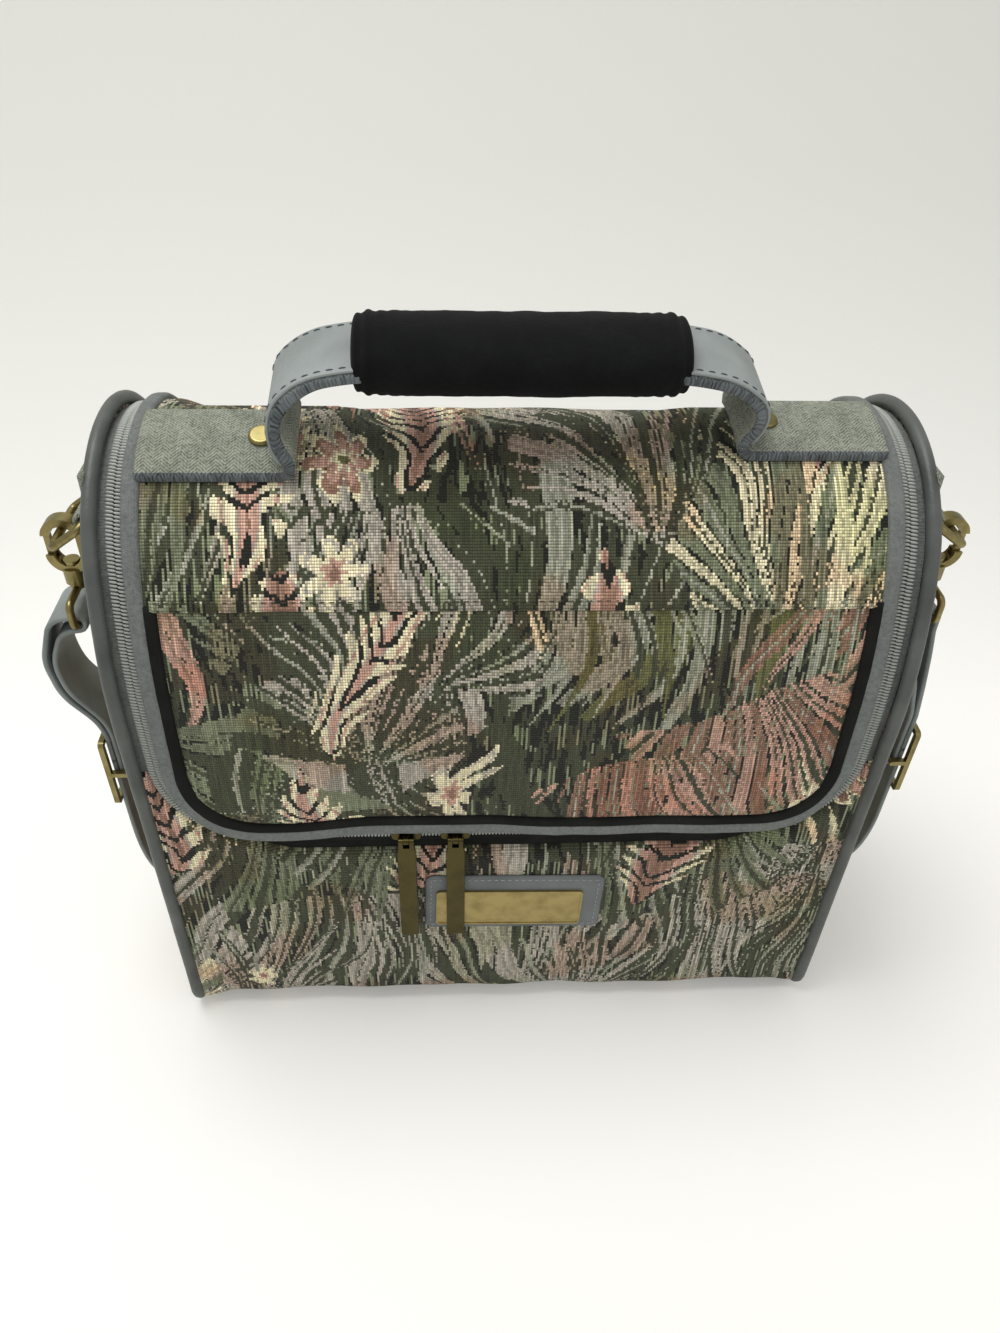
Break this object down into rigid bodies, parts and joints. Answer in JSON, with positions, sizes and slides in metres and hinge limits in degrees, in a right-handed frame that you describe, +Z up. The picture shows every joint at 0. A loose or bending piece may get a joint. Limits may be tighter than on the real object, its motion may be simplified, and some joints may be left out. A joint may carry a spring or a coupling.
{
  "type": "toiletry bag",
  "caption": "Zip-round toiletry bag with a domed hinged lid, front pocket, padded carrying handle and a shoulder strap clipped to rings at both ends",
  "frame": {"origin": "on the floor, under the middle of the base between the two ends and between front and back", "axes": "+X along the bag's width to its right end seen from the front, -Y towards the front with the name plate, +Z up"},
  "size_m": [0.3874, 0.1678, 0.3472],
  "materials": {
    "tapestry": "woven botanical tapestry in green-black, sage, cream and dusty pink",
    "grey_vinyl": "smooth grey coated cloth",
    "piping": "grey vinyl cord, slightly glossy",
    "board": "stiffening board",
    "lining": "plain lining cloth",
    "zip_tape": "grey woven tape",
    "zip_teeth": "grey nylon coil",
    "black_binding": "black cloth binding",
    "webbing": "olive grey webbing",
    "handle_vinyl": "light blue-grey coated cloth with stitched edges",
    "grip": "black padded grip",
    "strap_vinyl": "grey coated strap",
    "brass": "polished antique brass"
  },
  "bodies": {
    "case": {"bottom_panel": "grey_vinyl", "front_panel": "tapestry", "back_panel": "tapestry", "end_panel_left": "tapestry", "end_panel_right": "tapestry", "piping_left": "piping", "piping_right": "piping", "base_board": "board", "case_lining": "lining", "zip_tape_case": "zip_tape", "zip_coil_case": "zip_teeth", "name_patch": "grey_vinyl", "name_plate": "brass", "shoulder_strap": "strap_vinyl", "ring_tab_left": "webbing", "strap_slide_left": "brass", "ring_tab_right": "webbing", "strap_slide_right": "brass"},
    "lid": {"lid_lining": "lining", "zip_tape_lid": "zip_tape", "zip_coil_lid": "zip_teeth", "lid_panel": "tapestry", "pocket_panel": "tapestry", "pocket_binding": "black_binding", "lid_backing": "black_binding", "lid_edging": "zip_tape", "handle_strap": "webbing", "handle_facing": "handle_vinyl", "handle_grip": "grip", "handle_rivet_left": "brass", "handle_rivet_right": "brass"},
    "slider_left": {"slider_left": "brass"},
    "slider_right": {"slider_right": "brass"},
    "pull_left": {"pull_left": "brass"},
    "pull_right": {"pull_right": "brass"},
    "ring_left": {"ring_left": "brass", "strap_eye_left": "brass"},
    "hook_left": {"snap_hook_left": "brass"},
    "gate_left": {"hook_gate_left": "brass"},
    "ring_right": {"ring_right": "brass", "strap_eye_right": "brass"},
    "hook_right": {"snap_hook_right": "brass"},
    "gate_right": {"hook_gate_right": "brass"}
  },
  "joints": [
    {"name": "lid_hinge", "type": "hinge", "parent": "case", "child": "lid", "pos_m": [0, 0.0696, 0.195], "axis": [-1, 0, 0], "range_deg": [0, 110]},
    {"name": "slider_travel_left", "type": "slide", "parent": "case", "child": "slider_left", "axis": [-1, 0, 0], "range_m": [0, 0.053]},
    {"name": "pull_swing_left", "type": "hinge", "parent": "slider_left", "child": "pull_left", "pos_m": [-0.047, -0.0737, 0.1335], "axis": [-1, 0, 0], "range_deg": [0, 150]},
    {"name": "slider_travel_right", "type": "slide", "parent": "case", "child": "slider_right", "axis": [1, 0, 0], "range_m": [0, 0.126]},
    {"name": "pull_swing_right", "type": "hinge", "parent": "slider_right", "child": "pull_right", "pos_m": [-0.025, -0.0737, 0.1335], "axis": [-1, 0, 0], "range_deg": [0, 150]},
    {"name": "ring_swing_left", "type": "hinge", "parent": "case", "child": "ring_left", "pos_m": [-0.1641, -0.026, 0.276], "axis": [0, 1, 0], "range_deg": [-12, 90], "deforming": ["shoulder_strap"]},
    {"name": "hook_swivel_left", "type": "hinge", "parent": "ring_left", "child": "hook_left", "pos_m": [-0.17721, -0.026, 0.25587], "axis": [0, 0, 1], "range_deg": [-20, 20]},
    {"name": "gate_press_left", "type": "hinge", "parent": "hook_left", "child": "gate_left", "pos_m": [-0.18386, -0.026, 0.25437], "axis": [0, 1, 0], "range_deg": [0, 25], "stiffness_Nm_per_rad": 0.002, "springref_deg": -11.46},
    {"name": "ring_swing_right", "type": "hinge", "parent": "case", "child": "ring_right", "pos_m": [0.1641, -0.026, 0.276], "axis": [0, -1, 0], "range_deg": [-12, 90], "deforming": ["shoulder_strap"]},
    {"name": "hook_swivel_right", "type": "hinge", "parent": "ring_right", "child": "hook_right", "pos_m": [0.17721, -0.026, 0.25587], "axis": [0, 0, 1], "range_deg": [-20, 20]},
    {"name": "gate_press_right", "type": "hinge", "parent": "hook_right", "child": "gate_right", "pos_m": [0.18386, -0.026, 0.25437], "axis": [0, -1, 0], "range_deg": [0, 25], "stiffness_Nm_per_rad": 0.002, "springref_deg": -11.46}
  ]
}
